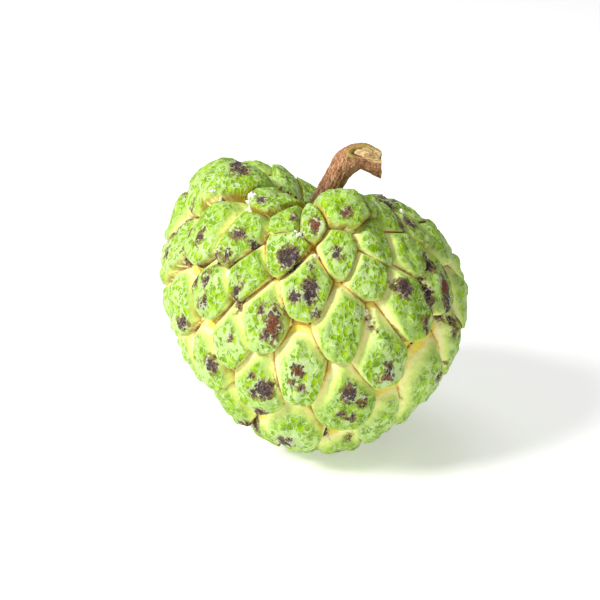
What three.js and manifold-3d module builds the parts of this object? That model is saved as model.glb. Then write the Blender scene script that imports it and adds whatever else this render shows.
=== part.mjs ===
// Custard apple: a heart-shaped fruit whose skin is a spiral of rounded
// segments, with the bent piece of woody stalk that it was picked with.
// Millimetres, +Z up. The origin is on the flat spot that the fruit rests on,
// straight below the hollow that holds the stalk.

import * as THREE from "three";
import { mergeVertices } from "three/addons/utils/BufferGeometryUtils.js";
import Module from "manifold-3d";

// ---------------------------------------------------------------- the flesh

const bodyRadius = 37.8; // plain radius under the segments
const centreHeight = 40.2; // from the resting spot to the middle of the flesh

// Hollow at the top, around the stalk: depth in mm, spread in degrees.
const hollow = { depth: 12, spread: 19 };

// Broad swellings of the flesh. Directions are degrees down from the stalk
// and degrees around from +X, the height is in mm and the spread in degrees.
const swellings = [
  { down: 42, around: 157, height: 12.2, spread: 33 }, // high left shoulder
  { down: 100, around: 350, height: 2.6, spread: 45 }, // full right flank
  { down: 125, around: 185, height: -5, spread: 35 }, // drawn in, lower left
  { down: 130, around: 350, height: -5, spread: 38 }, // drawn in, lower right
  { down: 38, around: 70, height: -6, spread: 38 }, // low shoulder at the back
  { down: 22, around: 298, height: 6.2, spread: 15 }, // lip in front of the stalk
  { down: 51, around: 183, height: -4.2, spread: 13 }, // dent under the shoulder
  { down: 90, around: 182, height: 1.8, spread: 26 }, // left flank
  { down: 150, around: 325, height: 1.2, spread: 32 }, // full tip
  { down: 20, around: 85, height: -4, spread: 16 }, // low rim behind the stalk
  { down: 180, around: 0, height: 1.6, spread: 14 }, // tip that it rests on
];

// ------------------------------------------------------------- the segments

// One segment at the waist of the fruit, in mm.
const segment = {
  halfWidth: 7.8,
  halfLength: 10.6,
  rise: 5, // height of its crown over the flesh
  tilt: 1, // extra height at its lower end, which hangs over the next
  spread: 0.16, // how much wider its lower end is than its middle
  fallOff: 1.2, // how fast it drops away outside its own outline
  reach: 22, // no segment matters further away than this
};

// Segments around the stalk are smaller, and so are those at the tip.
const smallest = 0.62; // share of full size at the stalk
const widestFrom = 110; // degrees down where the segments start to shrink
const shrinkToTip = 0.3; // share of their size lost between there and the tip
const growth = 1.15; // how soon the segments reach full size

// Centres of the segments on the front: degrees down, degrees around, size.
// Each line follows one spiral from the stalk towards the tip.
const frontSegments = [
  [22, 289, 1.25], [43, 284, 1], [57, 265, 1], [70, 247, 1], [80, 235, 0.95],
  [96, 218, 1], [98, 203, 1],
  [29, 265, 0.95], [42, 252, 1], [53, 236, 1], [63, 221, 1], [77, 200, 1],
  [20, 224, 1.15], [31, 250, 0.95], [43, 226, 1.08], [46, 205, 1.15], [59, 183, 1],
  [26, 184, 1.32], [37, 178, 1.1], [23, 116, 1],
  [42, 300, 1], [51, 294, 1], [72, 280, 1.04], [90, 263, 1.05], [97, 246, 1.03],
  [117, 222, 1],
  [34, 327, 0.95], [49, 321, 1], [67, 309, 1.12], [83, 294, 1.12],
  [102, 281, 1.14], [123, 258, 1.08], [139, 235, 1],
  [24, 307, 0.9], [36, 356, 1], [40, 338, 1], [64, 328, 1], [102, 321, 1.14],
  [119, 302, 1.05], [142, 290, 1.1],
  [51, 350, 1], [78, 350, 1], [92, 335, 1.05], [116, 319, 1],
];

// Rows that carry the pattern round the back and over the tip.
const backRows = [
  { down: 24, start: 350, step: 36, count: 4 },
  { down: 40, start: 22, step: 26, count: 6 },
  { down: 56, start: 12, step: 26, count: 7 },
  { down: 72, start: 2, step: 28, count: 7 },
  { down: 88, start: 14, step: 27, count: 7 },
  { down: 102, start: 345, step: 26, count: 8 },
  { down: 117, start: 332, step: 27, count: 9 },
  { down: 131, start: 306, step: 32, count: 9 },
  { down: 146, start: 331, step: 40, count: 8 },
  { down: 160, start: 280, step: 60, count: 6 },
  { down: 175, start: 270, step: 0, count: 1 },
];

// ---------------------------------------------------------------- the stalk

const stalkRadius = 3.7;
const stalkSides = 16;
const stalkSteps = 18;
// The middle line, from inside the hollow to the cut end.
const stalkLine = [
  [-1.6, 0, 61.5],
  [0, 0, 69],
  [2.6, 0, 75.4],
  [6.6, 0, 83],
  [9.4, 0, 86.4],
  [13, 0, 87.2],
  [18.2, 0, 84.8],
];

const gap = 0.3; // between the stalk and the flesh around its root
const fineness = 17; // divisions of the sphere that the fruit is shaped from

// Unit vector for a place given in degrees down from the stalk and around.
function direction(down, around) {
  const polar = THREE.MathUtils.degToRad(down);
  const turn = THREE.MathUtils.degToRad(around);
  return new THREE.Vector3(
    Math.sin(polar) * Math.cos(turn),
    Math.sin(polar) * Math.sin(turn),
    Math.cos(polar),
  );
}

const up = new THREE.Vector3(0, 0, 1);

// A bell that is 1 in the middle and fades over the given spread.
function bell(angle, spreadDegrees) {
  const share = angle / THREE.MathUtils.degToRad(spreadDegrees);
  return Math.exp(-share * share);
}

// Distance from the middle of the fruit to the flesh under the segments.
function fleshRadius(toward) {
  let radius = bodyRadius;
  for (const { down, around, height, spread } of swellings) {
    radius += height * bell(toward.angleTo(direction(down, around)), spread);
  }
  return radius - hollow.depth * bell(toward.angleTo(up), hollow.spread);
}

function fleshPoint(down, around) {
  const toward = direction(down, around);
  return toward.multiplyScalar(fleshRadius(toward));
}

function sizeAt(down) {
  if (down > widestFrom) {
    return 1 - (shrinkToTip * (down - widestFrom)) / (180 - widestFrom);
  }
  const waist = THREE.MathUtils.degToRad(Math.min(90, growth * down));
  return smallest + (1 - smallest) * Math.sin(waist);
}

// A segment's centre, its two directions along the skin, and its size.
function placeSegment([down, around, size]) {
  const nudge = 0.1; // degrees
  const sideNudge = nudge / Math.max(0.2, Math.sin(THREE.MathUtils.degToRad(down)));
  const downward = fleshPoint(down + nudge, around)
    .sub(fleshPoint(down - nudge, around))
    .normalize();
  const sideways = fleshPoint(down, around + sideNudge)
    .sub(fleshPoint(down, around - sideNudge));
  sideways.addScaledVector(downward, -sideways.dot(downward)).normalize();
  return {
    centre: fleshPoint(down, around),
    downward,
    sideways,
    scale: size * sizeAt(down),
  };
}

function allSegments() {
  const places = [...frontSegments];
  for (const { down, start, step, count } of backRows) {
    for (let i = 0; i < count; i += 1) places.push([down, start + step * i, 1]);
  }
  return places.map(placeSegment);
}

// Height of one segment over a point of the flesh: a tilted dome inside its
// outline, and a steady drop outside it.
function riseOf({ centre, downward, sideways, scale }, point) {
  const offset = point.clone().sub(centre);
  if (offset.length() > segment.reach) return -Infinity;
  const along = offset.dot(downward) / (segment.halfLength * scale);
  const width = THREE.MathUtils.clamp(1 + segment.spread * along, 0.5, 1.5);
  const across = offset.dot(sideways) / (segment.halfWidth * scale * width);
  const out = Math.hypot(along, across);
  const dome = out < 1 ? Math.sqrt(1 - out * out) : -segment.fallOff * (out - 1);
  return segment.rise * scale * dome + segment.tilt * along;
}

// A closed sphere with one vertex at each corner.
function plainSphere() {
  const sphere = new THREE.IcosahedronGeometry(1, fineness);
  sphere.deleteAttribute("normal");
  sphere.deleteAttribute("uv");
  return mergeVertices(sphere);
}

function fruitGeometry() {
  const geometry = plainSphere();
  const segments = allSegments();
  const corners = geometry.getAttribute("position");
  const toward = new THREE.Vector3();
  for (let i = 0; i < corners.count; i += 1) {
    toward.fromBufferAttribute(corners, i).normalize();
    const flesh = toward.clone().multiplyScalar(fleshRadius(toward));
    const rise = Math.max(...segments.map((one) => riseOf(one, flesh)));
    flesh.addScaledVector(toward, rise);
    corners.setXYZ(i, flesh.x, flesh.y, Math.max(0, flesh.z + centreHeight));
  }
  return geometry;
}

// A round bar along the stalk's line, or the room that it needs.
function stalkGeometry(clearance) {
  const points = stalkLine.map((place) => new THREE.Vector3(...place));
  const [root, next] = points;
  root.addScaledVector(next.clone().sub(root).normalize(), -clearance);
  const outline = new THREE.Shape();
  outline.absarc(0, 0, stalkRadius + clearance, 0, 2 * Math.PI);
  const bar = new THREE.ExtrudeGeometry(outline, {
    steps: stalkSteps,
    curveSegments: stalkSides / 2,
    bevelEnabled: false,
    extrudePath: new THREE.CatmullRomCurve3(points),
  });
  bar.deleteAttribute("normal");
  bar.deleteAttribute("uv");
  return mergeVertices(bar, gap / 10);
}

const wasm = await Module();
wasm.setup();

function toSolid(geometry) {
  return new wasm.Manifold(new wasm.Mesh({
    numProp: 3,
    vertProperties: new Float32Array(geometry.getAttribute("position").array),
    triVerts: new Uint32Array(geometry.getIndex().array),
  }));
}

function fromSolid(solid) {
  const { vertProperties, triVerts } = solid.getMesh();
  const geometry = new THREE.BufferGeometry();
  geometry.setAttribute("position", new THREE.BufferAttribute(vertProperties, 3));
  geometry.setIndex(new THREE.BufferAttribute(triVerts, 1));
  return geometry;
}

// The flesh, with a socket cut for the root of the stalk.
function makeFruit() {
  const socket = toSolid(stalkGeometry(gap));
  const geometry = fromSolid(toSolid(fruitGeometry()).subtract(socket));
  geometry.computeVertexNormals();
  const skin = new THREE.MeshStandardMaterial({
    color: 0xa6c45c,
    roughness: 0.62,
    metalness: 0,
  });
  const fruit = new THREE.Mesh(geometry, skin);
  fruit.name = "fruit";
  return fruit;
}

function makeStalk() {
  const geometry = stalkGeometry(0);
  geometry.computeVertexNormals();
  const bark = new THREE.MeshStandardMaterial({
    color: 0x8f6449,
    roughness: 0.85,
    metalness: 0,
  });
  const stalk = new THREE.Mesh(geometry, bark);
  stalk.name = "stem";
  return stalk;
}

const custardApple = new THREE.Group();
custardApple.add(makeFruit(), makeStalk());

export default custardApple;
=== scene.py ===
import math
import random

import bmesh
import bpy
import numpy as np
from mathutils import Matrix, Vector, noise
from mathutils.bvhtree import BVHTree
from mathutils.kdtree import KDTree


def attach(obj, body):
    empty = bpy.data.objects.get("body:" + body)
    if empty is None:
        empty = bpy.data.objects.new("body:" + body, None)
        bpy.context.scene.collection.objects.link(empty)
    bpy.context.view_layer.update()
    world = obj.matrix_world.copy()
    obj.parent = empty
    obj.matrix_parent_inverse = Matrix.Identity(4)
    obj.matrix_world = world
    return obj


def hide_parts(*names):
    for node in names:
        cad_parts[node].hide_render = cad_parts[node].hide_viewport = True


# custard apple: a heart-shaped fruit covered in bumpy segments, with its bent woody stalk
# shapes are worked out in millimetres and turned into metres as each mesh is written
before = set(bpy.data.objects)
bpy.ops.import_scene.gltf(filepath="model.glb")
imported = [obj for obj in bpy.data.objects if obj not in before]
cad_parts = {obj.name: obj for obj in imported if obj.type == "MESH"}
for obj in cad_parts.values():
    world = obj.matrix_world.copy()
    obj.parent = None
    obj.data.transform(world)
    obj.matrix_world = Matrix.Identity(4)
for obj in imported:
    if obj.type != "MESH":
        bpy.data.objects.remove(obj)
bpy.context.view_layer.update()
mm = 0.001
print("frame loaded:", sorted(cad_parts))


# small helpers

def smoothStep(values, low, high):
    share = np.clip((values - low) / (high - low), 0, 1)
    return share * share * (3 - 2 * share)


def blendBetween(first, second, share):
    return first + (second - first) * share


def unit(vectors):
    return vectors / np.linalg.norm(vectors, axis=-1, keepdims=True)


def dot(first, second):
    return (first * second).sum(-1)


def direction(down, around):
    # unit vectors from degrees down from the stalk and degrees around from +X
    polar, turn = np.radians(down), np.radians(around)
    return np.stack([np.sin(polar) * np.cos(turn), np.sin(polar) * np.sin(turn), np.cos(polar)], -1)


def noiseAt(points, size, seed):
    # soft noise from -1 to 1 whose lumps are about size mm across
    shift = Vector((seed * 17.3, seed * 5.1, seed * 9.7))
    return np.array([noise.noise(Vector(p) / size + shift) for p in points])


def cellsAt(points, size, seed):
    # distance to the nearest and second nearest of scattered seeds, in shares of size
    shift = Vector((seed * 3.9, seed * 13.7, seed * 7.3))
    found = np.empty((len(points), 2))
    for i, p in enumerate(points):
        found[i] = noise.voronoi(Vector(p) / size + shift)[0][:2]
    return found


def setAttribute(mesh, name, values):
    attribute = mesh.attributes.new(name, "FLOAT", "POINT")
    attribute.data.foreach_set("value", np.asarray(values, np.float32))


def newPiece(name, bm):
    mesh = bpy.data.meshes.new(name)
    bm.to_mesh(mesh)
    bm.free()
    piece = bpy.data.objects.new(name, mesh)
    bpy.context.scene.collection.objects.link(piece)
    return piece


# the flesh under the segments

flesh = {
    "radius": 37.8,
    "centreHeight": 40.2,
    "hollowDepth": 12,
    "hollowSpread": 19,
    # degrees down, degrees around, height in mm, spread in degrees
    "swellings": [
        (42, 157, 12.2, 33),
        (100, 350, 2.6, 45),
        (125, 185, -5, 35),
        (130, 350, -5, 38),
        (38, 70, -6, 38),
        (22, 298, 6.2, 15),
        (51, 183, -4.2, 13),
        (90, 182, 1.8, 26),
        (150, 325, 1.2, 32),
        (20, 85, -4, 16),
        (180, 0, 1.6, 14),
    ],
}


def fleshRadius(toward):
    radius = np.full(toward.shape[:-1], float(flesh["radius"]))
    for down, around, height, spread in flesh["swellings"]:
        angle = np.arccos(np.clip(toward @ direction(down, around), -1, 1))
        radius += height * np.exp(-(angle / math.radians(spread)) ** 2)
    angle = np.arccos(np.clip(toward[..., 2], -1, 1))
    return radius - flesh["hollowDepth"] * np.exp(-(angle / math.radians(flesh["hollowSpread"])) ** 2)


def fleshPoints(toward):
    return toward * fleshRadius(toward)[..., None]


# the segments of the skin

segment = {
    "halfWidth": 7.8,
    "halfLength": 10.6,
    "rise": 5,
    "tilt": 1,
    "spread": 0.16,
    "fallOff": 1.2,
    "reach": 22,
    "smallest": 0.62,
    "growth": 1.15,
    "widestFrom": 110,
    "shrinkToTip": 0.3,
    # centres on the front: degrees down, degrees around, size
    "front": [
        (22, 289, 1.25), (43, 284, 1), (57, 265, 1), (70, 247, 1), (80, 235, 0.95),
        (96, 218, 1), (98, 203, 1),
        (29, 265, 0.95), (42, 252, 1), (53, 236, 1), (63, 221, 1), (77, 200, 1),
        (20, 224, 1.15), (31, 250, 0.95), (43, 226, 1.08), (46, 205, 1.15), (59, 183, 1),
        (26, 184, 1.32), (37, 178, 1.1), (23, 116, 1),
        (42, 300, 1), (51, 294, 1), (72, 280, 1.04), (90, 263, 1.05), (97, 246, 1.03),
        (117, 222, 1),
        (34, 327, 0.95), (49, 321, 1), (67, 309, 1.12), (83, 294, 1.12),
        (102, 281, 1.14), (123, 258, 1.08), (139, 235, 1),
        (24, 307, 0.9), (36, 356, 1), (40, 338, 1), (64, 328, 1), (102, 321, 1.14),
        (119, 302, 1.05), (142, 290, 1.1), (51, 350, 1), (78, 350, 1), (92, 335, 1.05), (116, 319, 1),
    ],
    # rows round the back and over the tip: degrees down, start, step, count
    "backRows": [
        (24, 350, 36, 4), (40, 22, 26, 6), (56, 12, 26, 7), (72, 2, 28, 7),
        (88, 14, 27, 7), (102, 345, 26, 8), (117, 332, 27, 9), (131, 306, 32, 9),
        (146, 331, 40, 8), (160, 280, 60, 6), (175, 270, 0, 1),
    ],
}


def placeSegments():
    places = list(segment["front"])
    for down, start, step, count in segment["backRows"]:
        places += [(down, start + step * i, 1) for i in range(count)]
    down, around, size = np.array(places, float).T
    nudge = 0.1
    sideNudge = nudge / np.maximum(0.2, np.sin(np.radians(down)))
    below = fleshPoints(direction(down + nudge, around))
    above = fleshPoints(direction(down - nudge, around))
    downward = unit(below - above)
    onward = fleshPoints(direction(down, around + sideNudge))
    behind = fleshPoints(direction(down, around - sideNudge))
    sideways = onward - behind
    sideways = unit(sideways - dot(sideways, downward)[:, None] * downward)
    waist = np.radians(np.minimum(90, segment["growth"] * down))
    growing = segment["smallest"] + (1 - segment["smallest"]) * np.sin(waist)
    shrinking = segment["shrinkToTip"] * (down - segment["widestFrom"]) / (180 - segment["widestFrom"])
    return {
        "centre": fleshPoints(direction(down, around)),
        "downward": downward,
        "sideways": sideways,
        "scale": size * np.where(down > segment["widestFrom"], 1 - shrinking, growing),
        "down": down,
    }


def riseOf(places, which, points):
    # height of the chosen segment over each point, with the point's place along and across it
    offset = points - places["centre"][which]
    scale = places["scale"][which]
    along = dot(offset, places["downward"][which]) / (segment["halfLength"] * scale)
    width = np.clip(1 + segment["spread"] * along, 0.5, 1.5)
    across = dot(offset, places["sideways"][which]) / (segment["halfWidth"] * scale * width)
    out = np.hypot(along, across)
    dome = np.where(out < 1, np.sqrt(np.clip(1 - out * out, 0, 1)), -segment["fallOff"] * (out - 1))
    rise = segment["rise"] * scale * dome + segment["tilt"] * along
    return rise, along, across


def ownSegments(places, points):
    best = np.full(len(points), -np.inf)
    owner = np.zeros(len(points), int)
    for i, centre in enumerate(places["centre"]):
        near = np.nonzero(((points - centre) ** 2).sum(1) < segment["reach"] ** 2)[0]
        rise = riseOf(places, np.full(len(near), i), points[near])[0]
        higher = near[rise > best[near]]
        owner[higher] = i
        best[higher] = rise[rise > best[near]]
    return owner


def snapToCreases(toward, edges, places):
    # moves the nearest corner of every edge that crosses a crease onto that crease
    points = fleshPoints(toward)
    owner = ownSegments(places, points)
    a, b = edges[owner[edges[:, 0]] != owner[edges[:, 1]]].T
    leadA = riseOf(places, owner[a], points[a])[0] - riseOf(places, owner[b], points[a])[0]
    leadB = riseOf(places, owner[b], points[b])[0] - riseOf(places, owner[a], points[b])[0]
    share = leadA / np.maximum(leadA + leadB, 1e-9)
    mover = np.where(share < 0.5, a, b)
    order = np.argsort(-np.minimum(share, 1 - share))
    target = unit(blendBetween(toward[a], toward[b], share[:, None]))
    toward[mover[order]] = target[order]
    onCrease = np.zeros(len(toward), bool)
    onCrease[mover] = True
    return onCrease


def creaseDistance(points, edges, onCrease):
    # millimetres from each point to the nearest crease
    ridge = edges[onCrease[edges[:, 0]] & onCrease[edges[:, 1]]]
    seeds = np.concatenate([points[onCrease], points[ridge].mean(1)])
    tree = KDTree(len(seeds))
    for i, seed in enumerate(seeds):
        tree.insert(seed, i)
    tree.balance()
    distance = np.array([tree.find(p)[2] for p in points])
    distance[onCrease] = 0
    return distance


# the fruit

fruit = {
    "cuts": 127,
    "domeShare": 0.6,
    "pillowHeight": 2.9,
    "slopeTop": 4.6,
    "slopeFoot": 1.4,
    "slopeByStalk": 0.4,
    # degrees down between which the slopes grow from slopeByStalk to their full breadth
    "slopeGrows": (20, 78),
    # skin by the stalk is at least this green, down to greenUpTo degrees, fading over greenFade more
    "greenByStalk": 0.75,
    "greenUpTo": 29,
    "greenFade": 11,
    "slopeLeft": 1.3,
    "slopeRight": 0.6,
    "endShift": 0.1,
    "endAside": 0.06,
    "endLong": 0.9,
    "endWide": 1.05,
    "endSoft": 0.3,
    "lean": 2.0,
    "lumpSize": 4.6,
    "lumpHeight": 0.9,
    "rippleSize": 2.1,
    "rippleHeight": 0.3,
    "swellSize": 13,
    "swellHeight": 0.4,
}

# dark corky scabs: degrees down, degrees around, tall and wide in mm, strength, rust in the middle
scabs = [
    (49, 256, 6.5, 5.5, 0.9, 0), (61, 267, 6.5, 4, 1, 0), (63, 261, 3.2, 3, 1, 0),
    (69, 269, 1.8, 1.8, 1, 0), (52, 267, 1.5, 1.3, 0.7, 0), (74, 253, 8.5, 3.8, 1, 1),
    (70, 248, 3, 1.8, 0.7, 0), (90, 263, 3.4, 3.2, 1, 1), (95, 261, 2, 2, 0.8, 0),
    (97, 265, 2, 2.2, 0.8, 0), (100, 250, 5.5, 4.8, 1, 0), (102, 246, 2.8, 2, 1, 0),
    (95, 245, 1.5, 1.4, 1, 0), (111, 247, 2.6, 3.6, 0.7, 0), (128, 257, 4, 2.2, 0.9, 0),
    (66, 212, 5.5, 2.2, 1, 0), (64, 219, 4, 1.8, 0.9, 0), (72, 221, 3, 1.6, 1, 0),
    (65, 236, 8, 2.8, 0.6, 0), (45, 227, 2.6, 5, 0.6, 0), (46, 236, 2.4, 2.2, 0.7, 0),
    (55, 221, 2.8, 1.6, 1, 0), (53, 226, 4, 2.6, 0.8, 0), (59, 196, 11, 2.8, 1, 1),
    (52, 207, 4.5, 2.2, 0.9, 0), (66, 185, 2.5, 2, 0.9, 0), (55, 181, 9, 1.6, 0.9, 0),
    (27, 175, 3, 10, 1, 0), (26, 184, 4, 3.4, 0.7, 0), (29, 225, 2.6, 2.6, 0.7, 0),
    (34, 288, 3, 2.8, 0.7, 1), (47, 280, 4.5, 3.6, 0.5, 0), (59, 327, 5, 3.4, 1, 0),
    (70, 319, 8.5, 3.8, 1, 0), (79, 313, 3.4, 1.6, 1, 0), (66, 338, 2.2, 2, 1, 0),
    (69, 330, 6, 4, 1, 1), (76, 329, 6.5, 3.4, 1, 0), (104, 324, 4, 3, 0.9, 0),
    (86, 338, 6, 2.4, 1, 0), (95, 296, 2.2, 4, 1, 1), (104, 287, 3, 2, 0.9, 1),
    (109, 279, 1.5, 1.5, 1, 0), (112, 283, 2.6, 3, 0.9, 0), (134, 288, 2, 1.8, 0.6, 0),
]

# white mealy wax left in the creases: degrees down, degrees around, tall and wide in mm
mealySpots = [
    (31, 214, 4, 3.2), (38, 197, 1.5, 3), (39, 260, 2.2, 2.2), (30, 21, 3.4, 2.4),
    (38, 344, 1.3, 2.6), (70, 290, 1.2, 1.2), (47, 269, 1, 1.4), (59, 228, 1.4, 2.2),
]

backScabs = {
    "count": 34,
    "seed": 11,
    "around": (5, 178),
    "down": (22, 150),
    "tall": (1.2, 6.5),
    "wideShare": (0.4, 0.9),
    "strength": (0.6, 1),
    "rustChance": 0.25,
}


def scatterBack():
    # scabs round the back, like those on the front
    draw = random.Random(backScabs["seed"])
    made = []
    for _ in range(backScabs["count"]):
        down, around = draw.uniform(*backScabs["down"]), draw.uniform(*backScabs["around"])
        tall = draw.uniform(*backScabs["tall"])
        wide = tall * draw.uniform(*backScabs["wideShare"])
        strength = draw.uniform(*backScabs["strength"])
        rusty = draw.random() < backScabs["rustChance"]
        made.append((down, around, tall, wide, strength, rusty))
    return made


def spotField(toward, radius, spot):
    # how far inside an oval spot each point is, in mm, and as a share of the way to its middle
    down, around, tall, wide = spot[:4]
    centre = direction(down, around)
    tallWay = direction(down + 90, around)
    wideWay = np.cross(centre, tallWay)
    offset = (toward - centre) * radius[:, None]
    share = 1 - np.hypot(offset @ tallWay / (tall / 2), offset @ wideWay / (wide / 2))
    return share * min(tall, wide) / 2, share


def blemishes(shaped):
    # scab and rust over the finished surface
    offset = shaped - np.array([0, 0, flesh["centreHeight"]])
    radius = np.linalg.norm(offset, axis=1)
    toward = offset / radius[:, None]
    scab, rust = np.full(len(shaped), -3.0), np.full(len(shaped), -3.0)
    for spot in scabs + scatterBack():
        strength, rusty = spot[4:]
        inside, share = spotField(toward, radius, spot)
        scab = np.maximum(scab, inside - (1 - strength))
        if rusty:
            rust = np.maximum(rust, share)
    return {"scab": scab, "rust": rust}


def sphereFromCube(bm, cuts):
    bmesh.ops.create_cube(bm, size=2)
    bmesh.ops.subdivide_edges(bm, edges=bm.edges[:], cuts=cuts, use_grid_fill=True)
    bm.verts.ensure_lookup_table()
    bm.verts.index_update()
    corners = np.array([v.co for v in bm.verts], float)
    return unit(np.tan(corners * math.pi / 4))


def crownShare(crease, along, across, scale, down):
    # 0 in the crease and 1 on the crown: slopes are broad above a segment, short below, with round ends
    foot = smoothStep(along, -0.7, 0.7)
    breadth = blendBetween(fruit["slopeByStalk"], 1, smoothStep(down, *fruit["slopeGrows"])) * scale
    breadth *= blendBetween(fruit["slopeLeft"], fruit["slopeRight"], smoothStep(across, -0.8, 0.8))
    bySlope = crease / (blendBetween(fruit["slopeTop"], fruit["slopeFoot"], foot) * breadth)
    endAlong = (along - fruit["endShift"]) / fruit["endLong"]
    endAcross = (across - fruit["endAside"]) / fruit["endWide"]
    toEnd = np.hypot(endAlong, endAcross)
    byEnd = (1 - toEnd) / fruit["endSoft"]
    return np.clip(np.minimum(bySlope, byEnd), 0, 1), foot


def shapeFruit(toward, edges):
    # moves the points of a unit sphere to the fruit's surface, and lists what the skin needs there
    places = placeSegments()
    onCrease = snapToCreases(toward, edges, places)
    points = fleshPoints(toward)
    owner = ownSegments(places, points)
    crease = creaseDistance(points, edges, onCrease)
    rise, along, across = riseOf(places, owner, points)
    scale = places["scale"][owner]
    crown, foot = crownShare(crease, along, across, scale, places["down"][owner])
    convex = 1 - (1 - crown) ** 2
    pillow = blendBetween((convex + smoothStep(crown, 0, 1)) / 2, convex, foot)

    lumps = cellsAt(points, fruit["lumpSize"], 1)
    lump = smoothStep(lumps[:, 1] - lumps[:, 0], 0, 0.7) - 0.5
    ripple = noiseAt(points, fruit["rippleSize"], 2)
    body = crown * smoothStep(crease, 0.2, 2.6)
    height = fruit["domeShare"] * rise
    height += fruit["pillowHeight"] * scale * pillow
    height += body * (fruit["lumpHeight"] * lump + fruit["rippleHeight"] * ripple)
    height += fruit["swellHeight"] * noiseAt(points, fruit["swellSize"], 3)
    lean = fruit["lean"] * scale * pillow * smoothStep(along, -0.3, 0.8)
    shaped = points + toward * height[:, None] + places["downward"][owner] * lean[:, None]
    shaped[:, 2] = np.maximum(0, shaped[:, 2] + flesh["centreHeight"])
    tone = np.random.default_rng(5).random(len(places["scale"]))[owner]
    down = np.degrees(np.arccos(np.clip(toward[:, 2], -1, 1)))
    byStalk = 1 - smoothStep(down, fruit["greenUpTo"], fruit["greenUpTo"] + fruit["greenFade"])
    green = fruit["greenByStalk"]
    crown = crown + (green - green * crown) * byStalk
    facts = {"crease": crease, "along": along, "across": across, "crown": crown, "tone": tone}
    facts.update(blemishes(shaped))
    return shaped, onCrease, facts


def buildFruit():
    bm = bmesh.new()
    toward = sphereFromCube(bm, fruit["cuts"])
    edges = np.array([(e.verts[0].index, e.verts[1].index) for e in bm.edges])
    shaped, onCrease, facts = shapeFruit(toward, edges)
    print("fruit shaped: corners", len(shaped), "on creases", int(onCrease.sum()))
    for v, co in zip(bm.verts, shaped * mm):
        v.co = co
    bmesh.ops.connect_verts(bm, verts=[bm.verts[i] for i in np.nonzero(onCrease)[0]])
    bmesh.ops.recalc_face_normals(bm, faces=bm.faces[:])
    for f in bm.faces:
        f.smooth = True
    piece = newPiece("custard_apple", bm)
    for name, values in facts.items():
        setAttribute(piece.data, name, values)
    return piece


# materials

def srgb(red, green, blue):
    # a colour given as 0 to 255 screen values, as the shader's linear values
    values = [c / 255 for c in (red, green, blue)]
    return tuple(c / 12.92 if c <= 0.04045 else ((c + 0.055) / 1.055) ** 2.4 for c in values) + (1,)


class Shader:
    def __init__(self, name):
        self.material = bpy.data.materials.new(name)
        self.material.use_nodes = True
        self.tree = self.material.node_tree
        self.surface = self.tree.nodes["Principled BSDF"]

    def feed(self, socket, value):
        if isinstance(value, bpy.types.NodeSocket):
            self.tree.links.new(value, socket)
        elif value is not None:
            socket.default_value = value

    def node(self, kind, inputs=None, **settings):
        made = self.tree.nodes.new("ShaderNode" + kind)
        for name, value in settings.items():
            setattr(made, name, value)
        for name, value in (inputs or {}).items():
            self.feed(made.inputs[name], value)
        return made

    def math(self, operation, first, second=None):
        return self.node("Math", {0: first, 1: second}, operation=operation).outputs[0]

    def step(self, value, low, high):
        # 0 below low and 1 above high, and soft between
        return self.node("MapRange", {"Value": value, "From Min": low, "From Max": high},
                         interpolation_type="SMOOTHSTEP").outputs["Result"]

    def mix(self, share, first, second):
        return self.node("Mix", {0: share, 6: first, 7: second}, data_type="RGBA").outputs[2]

    def read(self, name):
        return self.node("Attribute", attribute_name=name).outputs["Fac"]

    def place(self):
        # object coordinates in millimetres
        coordinates = self.node("TexCoord").outputs["Object"]
        return self.node("VectorMath", {0: coordinates, "Scale": 1 / mm}, operation="SCALE").outputs[0]

    def noise(self, place, size, detail=3, roughness=0.55, output="Fac"):
        made = self.node("TexNoise", {"Vector": place, "Scale": 1 / size, "Detail": detail,
                                      "Roughness": roughness})
        return made.outputs[output]

    def warp(self, place, size, amount):
        push = self.noise(place, size, 2, output="Color")
        centred = self.node("VectorMath", {0: push, 1: (0.5, 0.5, 0.5)}, operation="SUBTRACT").outputs[0]
        scaled = self.node("VectorMath", {0: centred, "Scale": amount}, operation="SCALE").outputs[0]
        return self.node("VectorMath", {0: place, 1: scaled}, operation="ADD").outputs[0]

    def cells(self, place, size, feature="F1"):
        made = self.node("TexVoronoi", {"Vector": place, "Scale": 1 / size}, feature=feature)
        return made.outputs["Distance"]


skin = {
    # painted shade: a saturated golden tint for the coloured shade just inside a crease
    "creaseShadeYellow": srgb(245, 227, 98),
    "cream": srgb(255, 252, 194),
    "lime": srgb(226, 242, 134),
    "leaf": srgb(182, 210, 128),
    "deep": srgb(158, 192, 86),
    "bloom": srgb(220, 236, 192),
    "pit": srgb(156, 196, 0),
    "pitDeep": srgb(112, 154, 0),
    "orange": srgb(240, 186, 66),
    "creaseLine": srgb(178, 106, 34),
    # painted shadow: deep brown in a crease under a segment's lower end and right side
    "creaseShadow": srgb(78, 38, 10),
    # painted shade: olive on the slope beside that crease
    "shade": srgb(166, 146, 0),
    "scab": srgb(72, 52, 56),
    "ash": srgb(178, 166, 168),
    "olive": srgb(116, 88, 40),
    "rust": srgb(136, 72, 40),
    "webSize": 1.9,
    "blotchSize": 1.5,
    "blotchLevel": 1.03,
    "roughness": 0.54,
}


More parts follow.
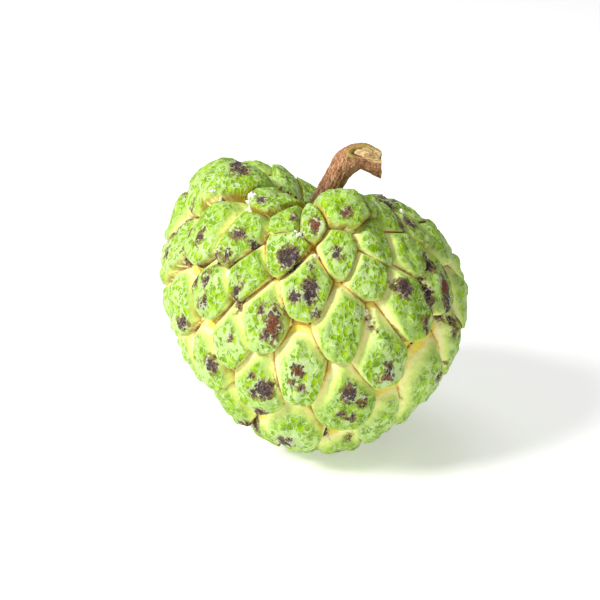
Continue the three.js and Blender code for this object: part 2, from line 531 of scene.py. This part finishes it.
def skinMaterial():
    s = Shader("custard_apple_skin")
    place = s.place()
    names = ("crease", "crown", "tone", "along", "across")
    crease, crownAt, tone, along, across = (s.read(name) for name in names)
    fine = s.math("SUBTRACT", s.noise(place, 1.2), 0.5)
    middling = s.math("SUBTRACT", s.noise(place, 3.4), 0.5)

    # painted shade: a saturated golden tint by the crease for the coloured shade low in it, then cream,
    # lime and milky green towards the crown
    border = s.math("ADD", crownAt, s.math("MULTIPLY", middling, 0.45))
    border = s.math("ADD", border, s.math("MULTIPLY", fine, 0.2))
    broad = s.math("ADD", s.noise(place, 14, 2), s.math("MULTIPLY", tone, 0.3))
    leaf = s.mix(s.step(broad, 0.4, 0.85), skin["leaf"], skin["deep"])
    colour = s.mix(s.step(border, -0.05, 0.22), skin["creaseShadeYellow"], skin["cream"])
    colour = s.mix(s.step(border, 0.1, 0.5), colour, skin["lime"])
    colour = s.mix(s.step(border, 0.3, 0.85), colour, leaf)
    crown = s.step(border, 0.45, 0.95)

    # saturated round blotches of many sizes, with a web of pale broken veins between them
    tall = s.node("Mapping", {"Vector": place, "Scale": (1.15, 1.15, 0.8)}).outputs[0]
    bent = s.warp(s.warp(tall, 4.5, 1.6), 1.3, 0.9)
    web = s.cells(bent, skin["webSize"], "DISTANCE_TO_EDGE")
    density = s.math("ADD", s.noise(place, 6, 2), s.math("MULTIPLY", along, -0.08))
    density = s.math("ADD", density, s.math("MULTIPLY", across, 0.05))
    blotch = s.math("ADD", s.math("MULTIPLY", s.noise(bent, skin["blotchSize"], 1), 1.5), density)
    blotch = s.math("ADD", blotch, s.math("MULTIPLY", s.cells(bent, skin["webSize"]), -0.3))
    blotch = s.math("SUBTRACT", blotch, skin["blotchLevel"])
    pit = s.math("MULTIPLY", s.step(blotch, -0.04, 0.07), s.step(web, 0.0, 0.07))
    pit = s.math("MULTIPLY", pit, crown)
    swollen = s.math("MULTIPLY", s.step(blotch, -0.15, 0.3), s.step(web, 0.0, 0.3))
    swollen = s.math("MULTIPLY", swollen, crown)
    broken = s.step(s.noise(place, 2.4, 2), 0.42, 0.62)
    vein = s.math("MULTIPLY", s.math("SUBTRACT", 1, s.step(web, 0.0, 0.09)), broken)
    vein = s.math("MULTIPLY", vein, crown)
    mottle = s.math("MULTIPLY", s.step(s.noise(place, 0.8, 2), 0.45, 0.7), crown)
    colour = s.mix(s.math("MULTIPLY", mottle, 0.3), colour, skin["bloom"])
    pitColour = s.mix(s.step(s.noise(place, 2.2, 2), 0.35, 0.65), skin["pit"], skin["pitDeep"])
    colour = s.mix(pit, colour, pitColour)
    colour = s.mix(s.math("MULTIPLY", vein, 0.55), colour, skin["bloom"])

    # the crease: an orange blush here and there, a brown line, and painted shadow and shade under a
    # segment's lower end and on its right side
    ragged = s.math("ADD", crease, s.math("MULTIPLY", fine, 0.5))
    patchy = s.step(s.noise(place, 8, 2), 0.45, 0.7)
    blush = s.math("MULTIPLY", s.math("SUBTRACT", 1, s.step(ragged, 0.1, 0.9)), patchy)
    colour = s.mix(s.math("MULTIPLY", blush, 0.6), colour, skin["orange"])
    line = s.math("ADD", ragged, s.math("MULTIPLY", middling, 0.9))
    lineShare = s.math("SUBTRACT", 1, s.step(line, -0.05, 0.42))
    colour = s.mix(s.math("MULTIPLY", lineShare, 0.75), colour, skin["creaseLine"])
    under = s.math("ADD", s.math("MAXIMUM", along, s.math("MULTIPLY", across, 0.9)), middling)
    # painted shadow: deep brown in the crease towards a segment's lower end and right side
    paintedShadow = s.math("SUBTRACT", 1, s.step(ragged, 0.1, 0.95))
    paintedShadow = s.math("MULTIPLY", paintedShadow, s.step(under, 0.45, 0.85))
    colour = s.mix(s.math("MULTIPLY", paintedShadow, 0.85), colour, skin["creaseShadow"])
    # painted shade: olive on the slope beside the crease on that same side
    paintedShade = s.math("SUBTRACT", 1, s.step(ragged, 0.3, 2.0))
    paintedShade = s.math("MULTIPLY", paintedShade, s.step(under, 0.5, 0.9))
    colour = s.mix(s.math("MULTIPLY", paintedShade, 0.5), colour, skin["shade"])

    # scabs: blotches that went dark in an ashy web, solid where they are strongest, rusty in some
    corky = s.math("ADD", s.read("scab"), s.math("MULTIPLY", fine, 3.2))
    corky = s.math("ADD", corky, s.math("MULTIPLY", middling, 1.2))
    ash = s.math("MULTIPLY", s.step(corky, -1.2, 0.3), s.step(s.noise(place, 1.6, 2), 0.35, 0.6))
    colour = s.mix(s.math("MULTIPLY", ash, 0.7), colour, skin["ash"])
    spotted = s.math("MULTIPLY", s.step(corky, -1.3, -0.3), s.step(blotch, -0.1, 0.1))
    colour = s.mix(s.math("MULTIPLY", spotted, 0.85), colour, skin["olive"])
    solid = s.math("ADD", corky, s.math("MULTIPLY", s.step(web, 0.0, 0.12), 0.9))
    solid = s.math("ADD", solid, s.math("MULTIPLY", s.math("SUBTRACT", s.noise(place, 1.0, 1), 0.5), 2.0))
    scab = s.step(solid, 0.7, 1.05)
    scabColour = s.mix(s.step(s.noise(place, 0.7, 2), 0.5, 0.9), skin["scab"], skin["ash"])
    rusty = s.step(s.math("ADD", s.read("rust"), s.math("MULTIPLY", fine, 1.6)), 0.05, 0.4)
    rusty = s.math("MULTIPLY", rusty, s.step(s.noise(place, 0.8, 2), 0.35, 0.55))
    scabColour = s.mix(rusty, scabColour, skin["rust"])
    colour = s.mix(s.math("MULTIPLY", scab, 0.93), colour, scabColour)

    s.feed(s.surface.inputs["Base Color"], colour)
    rough = s.math("ADD", skin["roughness"], s.math("MULTIPLY", pit, -0.12))
    rough = s.math("ADD", rough, s.math("MULTIPLY", scab, 0.35))
    s.feed(s.surface.inputs["Roughness"], rough)
    s.surface.inputs["Subsurface Weight"].default_value = 0.1
    s.surface.inputs["Subsurface Radius"].default_value = (1.0, 1.0, 0.4)
    s.surface.inputs["Subsurface Scale"].default_value = 1.5 * mm
    s.surface.inputs["Specular IOR Level"].default_value = 0.2

    relief = s.math("ADD", s.math("MULTIPLY", swollen, -0.45), s.math("MULTIPLY", vein, 0.3))
    relief = s.math("ADD", relief, s.math("MULTIPLY", s.noise(place, 2.0, 2), 0.9))
    relief = s.math("ADD", relief, s.math("MULTIPLY", s.noise(place, 0.6), 0.25))
    relief = s.math("ADD", relief, s.math("MULTIPLY", scab, s.math("ADD", 0.2, s.noise(place, 0.6))))
    bump = s.node("Bump", {"Height": relief, "Distance": 0.45 * mm, "Strength": 1.0})
    s.feed(s.surface.inputs["Normal"], bump.outputs[0])
    return s.material


# the stalk

stalk = {
    # middle line from inside the hollow to past the cut end, and the radius there
    "line": [
        (-1.6, 0, 61.5, 3.3), (0, 0, 69, 3.3), (2.6, 0, 75.4, 3.3), (4.7, 0, 79.5, 3.3),
        (6.8, 0, 83.2, 3.45), (9.2, 0, 86.2, 3.9), (12.8, 0, 87.4, 3.7), (16, 0, 86.1, 3.6),
        (20.5, 0, 83.7, 3.5),
    ],
    "cutAt": 18.4,
    "sides": 112,
    "stations": 170,
    "fissureHeight": 0.3,
    "fissureWide": 0.75,
    "fissureLong": 4.0,
    "lumpHeight": 0.22,
    "lumpSize": 3.2,
    # the scar of a side shoot: how far along X, degrees up from the front, half sizes in mm
    "scarAt": 14.7,
    "scarTurn": 40,
    "scarLong": 4.7,
    "scarWide": 2.35,
    "scarRim": 0.5,
    "scarDepth": 0.55,
    "scarKnob": 0.75,
    "fibreWide": 0.35,
    "fibreLong": 2.6,
    "crackDepth": 0.7,
    # the cut end: rings of faces, how far the first is drawn in, and the height and size of its lumps
    "cutRings": 7,
    "cutBevel": 0.08,
    "cutLumpHeight": 0.35,
    "cutLumpSize": 0.9,
}


def smoothLine(points, count):
    # a smooth curve through the points, in even steps
    points = np.array(points, float)
    padded = np.concatenate([[2 * points[0] - points[1]], points, [2 * points[-1] - points[-2]]])
    made = []
    for i in range(1, len(padded) - 2):
        p0, p1, p2, p3 = padded[i - 1:i + 3]
        for t in np.linspace(0, 1, 60, endpoint=False):
            made.append(0.5 * (2 * p1 + (p2 - p0) * t + (2 * p0 - 5 * p1 + 4 * p2 - p3) * t * t
                               + (3 * p1 - p0 - 3 * p2 + p3) * t ** 3))
    made.append(points[-1])
    made = np.array(made)
    length = np.concatenate([[0], np.cumsum(np.linalg.norm(np.diff(made[:, :3], axis=0), axis=1))])
    wanted = np.linspace(0, length[-1], count)
    return np.stack([np.interp(wanted, length, made[:, k]) for k in range(made.shape[1])], 1)


def stalkSkin(angle, radius, travelled):
    # height of the bark over the plain round bar, and how much scar, rim and crack there is
    around = Vector((math.cos(angle), math.sin(angle), 0)) * radius
    grain = Vector((around.x / stalk["fissureWide"], around.y / stalk["fissureWide"],
                    travelled / stalk["fissureLong"]))
    height = -stalk["fissureHeight"] * (1 - min(1, abs(noise.noise(grain)) * 4)) ** 2
    height += stalk["fissureHeight"] * 0.5 * noise.noise(grain * 1.9 + Vector((3, 7, 1)))
    height += stalk["lumpHeight"] * noise.noise((around + Vector((0, 0, travelled))) / stalk["lumpSize"])
    turn = angle + math.radians(stalk["scarTurn"]) - math.pi
    turn = (turn + math.pi) % (2 * math.pi) - math.pi
    across = turn * radius / stalk["scarWide"]
    along = travelled / stalk["scarLong"]
    out = math.hypot(along, across)
    inside = max(0, 1 - out)
    facing = (-along - 0.9 * across) / max(out, 0.1)
    rim = math.exp(-((out - 1) / 0.15) ** 2) * min(1, max(0.0, 0.45 + facing))
    if out < 1.3:
        height *= 1 - min(1, inside * 4)
        grainPlace = Vector((turn * radius / stalk["fibreWide"], travelled / stalk["fibreLong"], 5))
        fibre = noise.noise(grainPlace)
        height += rim * stalk["scarRim"]
        height += -stalk["scarDepth"] * min(1, inside * 3) * (0.6 + 0.7 * fibre)
        height += stalk["scarKnob"] * math.exp(-((along + 0.22) ** 2 + (across - 0.15) ** 2) / 0.09)
    crack = math.exp(-((out - 0.83) / 0.09) ** 2) * min(1, max(0.0, 0.1 - along))
    crack = max(crack, 0.9 * math.exp(-((along - 0.75) ** 2 / 0.06 + (across + 0.35) ** 2 / 0.1)))
    return height - stalk["crackDepth"] * crack, 1 - out, rim, crack


def extrudeRing(bm, edges):
    # carries a ring of edges on, and gives the corners and edges of the new ring
    made = bmesh.ops.extrude_edge_only(bm, edges=edges)["geom"]
    corners = [g for g in made if isinstance(g, bmesh.types.BMVert)]
    sides = [g for g in made if isinstance(g, bmesh.types.BMEdge)]
    return corners, [e for e in sides if all(v in corners for v in e.verts)]


def buildStalk():
    line = smoothLine(stalk["line"], stalk["stations"])
    steps = np.linalg.norm(np.diff(line[:, :3], axis=0), axis=1)
    travelled = np.concatenate([[0], np.cumsum(steps)])
    scarAlong = float(np.interp(stalk["scarAt"], line[:, 0], travelled))
    bm = bmesh.new()
    layers = [bm.verts.layers.float.new(name) for name in ("scar", "rim", "crack", "cut", "foot")]
    scarLayer, rimLayer, crackLayer, cutLayer, footLayer = layers
    bmesh.ops.create_circle(bm, segments=stalk["sides"], radius=1)
    ring, ringEdges = bm.verts[:], bm.edges[:]
    angles = [math.atan2(v.co.y, v.co.x) for v in ring]
    for i, (x, y, z, radius) in enumerate(line):
        if i:
            ring, ringEdges = extrudeRing(bm, ringEdges)
        ahead = line[min(i + 1, len(line) - 1), :3] - line[max(i - 1, 0), :3]
        forward = Vector(ahead).normalized()
        side = Vector((0, 1, 0))
        lift = side.cross(forward).normalized()
        for v, angle in zip(ring, angles):
            height, *marks = stalkSkin(angle, radius, travelled[i] - scarAlong)
            v[scarLayer], v[rimLayer], v[crackLayer] = marks
            v[footLayer] = travelled[i]
            out = math.cos(angle) * side - math.sin(angle) * lift
            v.co = Vector((x, y, z)) + out * (radius + height)
    bmesh.ops.bisect_plane(bm, geom=bm.verts[:] + bm.edges[:] + bm.faces[:], dist=1e-5,
                           plane_co=(stalk["cutAt"], 0, 0), plane_no=(1, 0, 0), clear_outer=True)
    cutEdges = [e for e in bm.edges if e.is_boundary and e.verts[0].co.x > stalk["cutAt"] - 1]
    middle = sum((e.verts[0].co for e in cutEdges), Vector()) / len(cutEdges)
    for k in range(stalk["cutRings"]):
        ring, cutEdges = extrudeRing(bm, cutEdges)
        ringsLeft = stalk["cutRings"] - k
        share = ringsLeft / (ringsLeft + 1) if k else 1 - stalk["cutBevel"]
        for v in ring:
            v.co = middle + (v.co - middle) * share
            v.co.x += stalk["cutLumpHeight"] * noise.noise(v.co / stalk["cutLumpSize"])
            v[cutLayer], v[scarLayer], v[rimLayer], v[crackLayer] = 1, -1, 0, 0
    bmesh.ops.holes_fill(bm, edges=[e for e in bm.edges if e.is_boundary])
    bmesh.ops.recalc_face_normals(bm, faces=bm.faces[:])
    for f in bm.faces:
        f.smooth = True
    bmesh.ops.transform(bm, matrix=Matrix.Scale(mm, 4), verts=bm.verts[:])
    return newPiece("stalk", bm)


bark = {
    "light": srgb(232, 190, 146),
    "warm": srgb(202, 148, 104),
    "brown": srgb(156, 108, 76),
    "crack": srgb(78, 50, 36),
    "moss": srgb(176, 160, 72),
    "wood": srgb(240, 214, 158),
    "woodDeep": srgb(214, 170, 112),
    "woodDark": srgb(120, 88, 40),
    "roughness": 0.82,
}


def barkMaterial():
    s = Shader("stalk_bark")
    place = s.place()
    fine = s.math("SUBTRACT", s.noise(place, 0.9), 0.5)
    # grain drawn out along the stalk, which leans a little to the right
    grained = s.node("Mapping", {
        "Vector": s.warp(place, 3, 0.6),
        "Rotation": (0, math.radians(-28), 0),
        "Scale": (1.6, 1.6, 0.36),
    }).outputs[0]
    streak = s.noise(grained, 0.9, 3)
    colour = s.mix(s.step(streak, 0.35, 0.65), bark["brown"], bark["warm"])
    colour = s.mix(s.step(s.noise(grained, 1.5, 3), 0.55, 0.75), colour, bark["light"])
    crack = s.math("ABSOLUTE", s.math("SUBTRACT", s.noise(grained, 1.2, 2), 0.5))
    crack = s.math("SUBTRACT", 1, s.step(crack, 0.0, 0.035))
    colour = s.mix(s.math("MULTIPLY", crack, 0.65), colour, bark["crack"])
    foot = s.math("SUBTRACT", 1, s.step(s.math("ADD", s.read("foot"), s.math("MULTIPLY", fine, 5)), 11, 25))
    colour = s.mix(s.math("MULTIPLY", foot, 0.75), colour, bark["crack"])

    # splinters of bare wood, drawn out along X
    splinters = s.node("Mapping", {
        "Vector": s.warp(place, 2, 0.5),
        "Rotation": (0, math.radians(24), 0),
        "Scale": (0.42, 1.8, 1.8),
    }).outputs[0]
    splinter = s.noise(splinters, 0.8, 3)
    wood = s.mix(s.step(splinter, 0.42, 0.62), bark["woodDeep"], bark["wood"])
    wood = s.mix(s.math("SUBTRACT", 1, s.step(splinter, 0.34, 0.44)), wood, bark["woodDark"])
    deep = s.math("MULTIPLY", s.step(s.read("crack"), 0.15, 0.6), 0.9)
    wood = s.mix(deep, wood, bark["crack"])
    inScar = s.math("ADD", s.read("scar"), s.math("MULTIPLY", fine, 0.2))
    colour = s.mix(s.step(inScar, 0.04, 0.16), colour, wood)
    edge = s.math("MULTIPLY", s.step(s.read("rim"), 0.25, 0.7), 0.85)
    colour = s.mix(edge, colour, bark["moss"])
    cut = s.step(s.math("ADD", s.read("cut"), s.math("MULTIPLY", fine, 0.5)), 0.4, 0.7)
    colour = s.mix(cut, colour, wood)
    s.feed(s.surface.inputs["Base Color"], colour)
    s.surface.inputs["Roughness"].default_value = bark["roughness"]
    s.surface.inputs["Specular IOR Level"].default_value = 0.3
    relief = s.math("ADD", s.math("MULTIPLY", streak, 0.8), s.math("MULTIPLY", crack, -0.6))
    relief = s.math("ADD", relief, s.math("MULTIPLY", s.noise(place, 0.5), 0.3))
    bump = s.node("Bump", {"Height": relief, "Distance": 0.3 * mm, "Strength": 1.0})
    s.feed(s.surface.inputs["Normal"], bump.outputs[0])
    return s.material


# crumbs caught in the creases

crumbs = {
    "seed": 3,
    # on creases further along a segment than tipFrom
    "tipFrom": 0.66,
    "tipChance": 0.22,
    "tipSizes": (0.22, 0.5),
    # round the foot of the stalk: degrees down and around
    "footDown": (2, 17),
    "footAround": (150, 300),
    "footCount": 70,
    "footSizes": (0.3, 0.85),
    "mealySizes": (0.35, 0.95),
    "mealyPerSquare": 2.6,
    "sink": 0.3,
    "stretch": (0.5, 1.3),
    "turns": (0, 6.28),
    "ragged": 0.2,
}


def addCrumb(bm, place, size, draw):
    # one small lump, squashed and turned its own way
    stretch = [size * draw.uniform(*crumbs["stretch"]) for _ in range(3)]
    angle = draw.uniform(*crumbs["turns"])
    axis = Vector([draw.uniform(-1, 1) for _ in range(3)]).normalized()
    turn = Matrix.Rotation(angle, 4, axis)
    matrix = Matrix.Translation(place) @ turn @ Matrix.Diagonal((*stretch, 1))
    made = bmesh.ops.create_icosphere(bm, subdivisions=1, radius=1, matrix=matrix)
    ragged = crumbs["ragged"]
    for v in made["verts"]:
        v.co += Vector([draw.uniform(-ragged, ragged) * size for _ in range(3)])


def surfacePoint(tree, toward):
    # where a ray in from outside meets the fruit
    middle = Vector((0, 0, flesh["centreHeight"])) * mm
    hit = tree.ray_cast(middle + Vector(toward) * 0.1, -Vector(toward))
    return hit[0] / mm, hit[1]


def finishCrumbs(name, bm):
    bmesh.ops.recalc_face_normals(bm, faces=bm.faces[:])
    bmesh.ops.transform(bm, matrix=Matrix.Scale(mm, 4), verts=bm.verts[:])
    return newPiece(name, bm)


def buildBrownCrumbs(fruitMesh, tree):
    # withered flakes under the segments' lower ends and round the foot of the stalk
    draw = random.Random(crumbs["seed"])
    bm = bmesh.new()
    crease = fruitMesh.attributes["crease"].data
    along = fruitMesh.attributes["along"].data
    for v in fruitMesh.vertices:
        underTip = crease[v.index].value < 0.01 and along[v.index].value > crumbs["tipFrom"]
        if underTip and draw.random() < crumbs["tipChance"]:
            addCrumb(bm, v.co / mm + v.normal * 0.1, draw.uniform(*crumbs["tipSizes"]), draw)
    for _ in range(crumbs["footCount"]):
        toward = direction(draw.uniform(*crumbs["footDown"]), draw.uniform(*crumbs["footAround"]))
        place, normal = surfacePoint(tree, toward)
        size = draw.uniform(*crumbs["footSizes"])
        addCrumb(bm, place + normal * size * crumbs["sink"], size, draw)
    return finishCrumbs("crease_crumbs", bm)


def buildMealyWax(tree):
    # little heaps of white mealy wax, of smaller lumps towards their edges
    draw = random.Random(crumbs["seed"] + 1)
    bm = bmesh.new()
    for down, around, tall, wide in mealySpots:
        for _ in range(max(3, round(tall * wide * crumbs["mealyPerSquare"]))):
            far, turn = math.sqrt(draw.random()), draw.uniform(*crumbs["turns"])
            slide = math.degrees(1 / flesh["radius"])
            dDown = far * math.cos(turn) * tall / 2 * slide
            dAround = far * math.sin(turn) * wide / 2 * slide / math.sin(math.radians(down))
            place, normal = surfacePoint(tree, direction(down + dDown, around + dAround))
            size = draw.uniform(*crumbs["mealySizes"]) * (1.2 - 0.6 * far)
            addCrumb(bm, place + normal * size * crumbs["sink"], size, draw)
    return finishCrumbs("mealy_wax", bm)


def crumbMaterial(name, first, second):
    s = Shader(name)
    place = s.place()
    colour = s.mix(s.step(s.noise(place, 0.9, 2), 0.4, 0.65), first, second)
    s.feed(s.surface.inputs["Base Color"], colour)
    s.surface.inputs["Roughness"].default_value = 0.9
    bump = s.node("Bump", {"Height": s.noise(place, 0.3, 2), "Distance": 0.15 * mm})
    s.feed(s.surface.inputs["Normal"], bump.outputs[0])
    return s.material


# the plain stage

studio = {
    "lens": 100,
    "sensor": 36,
    "elevation": 22,
    "distance": 491.8,
    "aim": (-4.7, 0, 43.2),
    "floorSize": 3,
    "floorGlow": 0.36,
    "worldGlow": 0.3,
    # in metres and watts: name, place, size, power
    "lights": [
        ("keyLight", (-0.66, -0.36, 0.66), 0.34, 10.2),
        ("fillLight", (-0.1, -0.9, 0.0), 0.7, 1.6),
        ("topLight", (-0.15, 0.35, 0.9), 0.8, 2.6),
    ],
    "lightAim": (0, 0, 0.045),
}


def addFloor():
    bm = bmesh.new()
    bmesh.ops.create_grid(bm, x_segments=1, y_segments=1, size=studio["floorSize"])
    floor = newPiece("floor", bm)
    s = Shader("floor_white")
    s.surface.inputs["Base Color"].default_value = (0.9, 0.9, 0.9, 1)
    s.surface.inputs["Roughness"].default_value = 0.9
    s.surface.inputs["Emission Color"].default_value = (1, 1, 1, 1)
    s.surface.inputs["Emission Strength"].default_value = studio["floorGlow"]
    floor.data.materials.append(s.material)


def addLight(name, place, size, power):
    data = bpy.data.lights.new(name, "AREA")
    data.shape = "DISK"
    data.size = size
    data.energy = power
    light = bpy.data.objects.new(name, data)
    light.location = place
    facing = Vector(studio["lightAim"]) - Vector(place)
    light.rotation_euler = facing.to_track_quat("-Z", "Y").to_euler()
    bpy.context.scene.collection.objects.link(light)


def addCamera():
    data = bpy.data.cameras.new("camera")
    data.lens = studio["lens"]
    data.sensor_width = studio["sensor"]
    data.clip_start = 0.01
    camera = bpy.data.objects.new("camera", data)
    tilt = math.radians(studio["elevation"])
    aim = Vector(studio["aim"]) * mm
    back = Vector((0, -math.cos(tilt), math.sin(tilt)))
    camera.location = aim + back * studio["distance"] * mm
    camera.rotation_euler = (-back).to_track_quat("-Z", "Y").to_euler()
    bpy.context.scene.collection.objects.link(camera)
    bpy.context.scene.camera = camera


def addStudio():
    addFloor()
    for light in studio["lights"]:
        addLight(*light)
    world = bpy.data.worlds.new("studio")
    world.use_nodes = True
    background = world.node_tree.nodes["Background"]
    background.inputs["Color"].default_value = (1, 1, 1, 1)
    background.inputs["Strength"].default_value = studio["worldGlow"]
    bpy.context.scene.world = world
    bpy.context.scene.view_settings.view_transform = "Standard"
    addCamera()


custardApple = buildFruit()
custardApple.data.materials.append(skinMaterial())
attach(custardApple, "root")
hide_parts("fruit")
print("fruit done:", len(custardApple.data.polygons), "faces")

stalkPiece = buildStalk()
stalkPiece.data.materials.append(barkMaterial())
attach(stalkPiece, "root")
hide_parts("stem")
print("stalk done:", len(stalkPiece.data.polygons), "faces")

surface = BVHTree.FromPolygons([v.co for v in custardApple.data.vertices],
                               [p.vertices[:] for p in custardApple.data.polygons])
brownCrumbs = buildBrownCrumbs(custardApple.data, surface)
brownCrumbs.data.materials.append(crumbMaterial("withered_brown", srgb(66, 38, 20), srgb(132, 88, 48)))
mealyWax = buildMealyWax(surface)
mealyWax.data.materials.append(crumbMaterial("mealy_white", srgb(250, 246, 240), srgb(232, 222, 210)))
for piece in (brownCrumbs, mealyWax):
    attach(piece, "root")
print("crumbs done:", len(brownCrumbs.data.polygons) + len(mealyWax.data.polygons), "faces")

addStudio()
print("studio done")
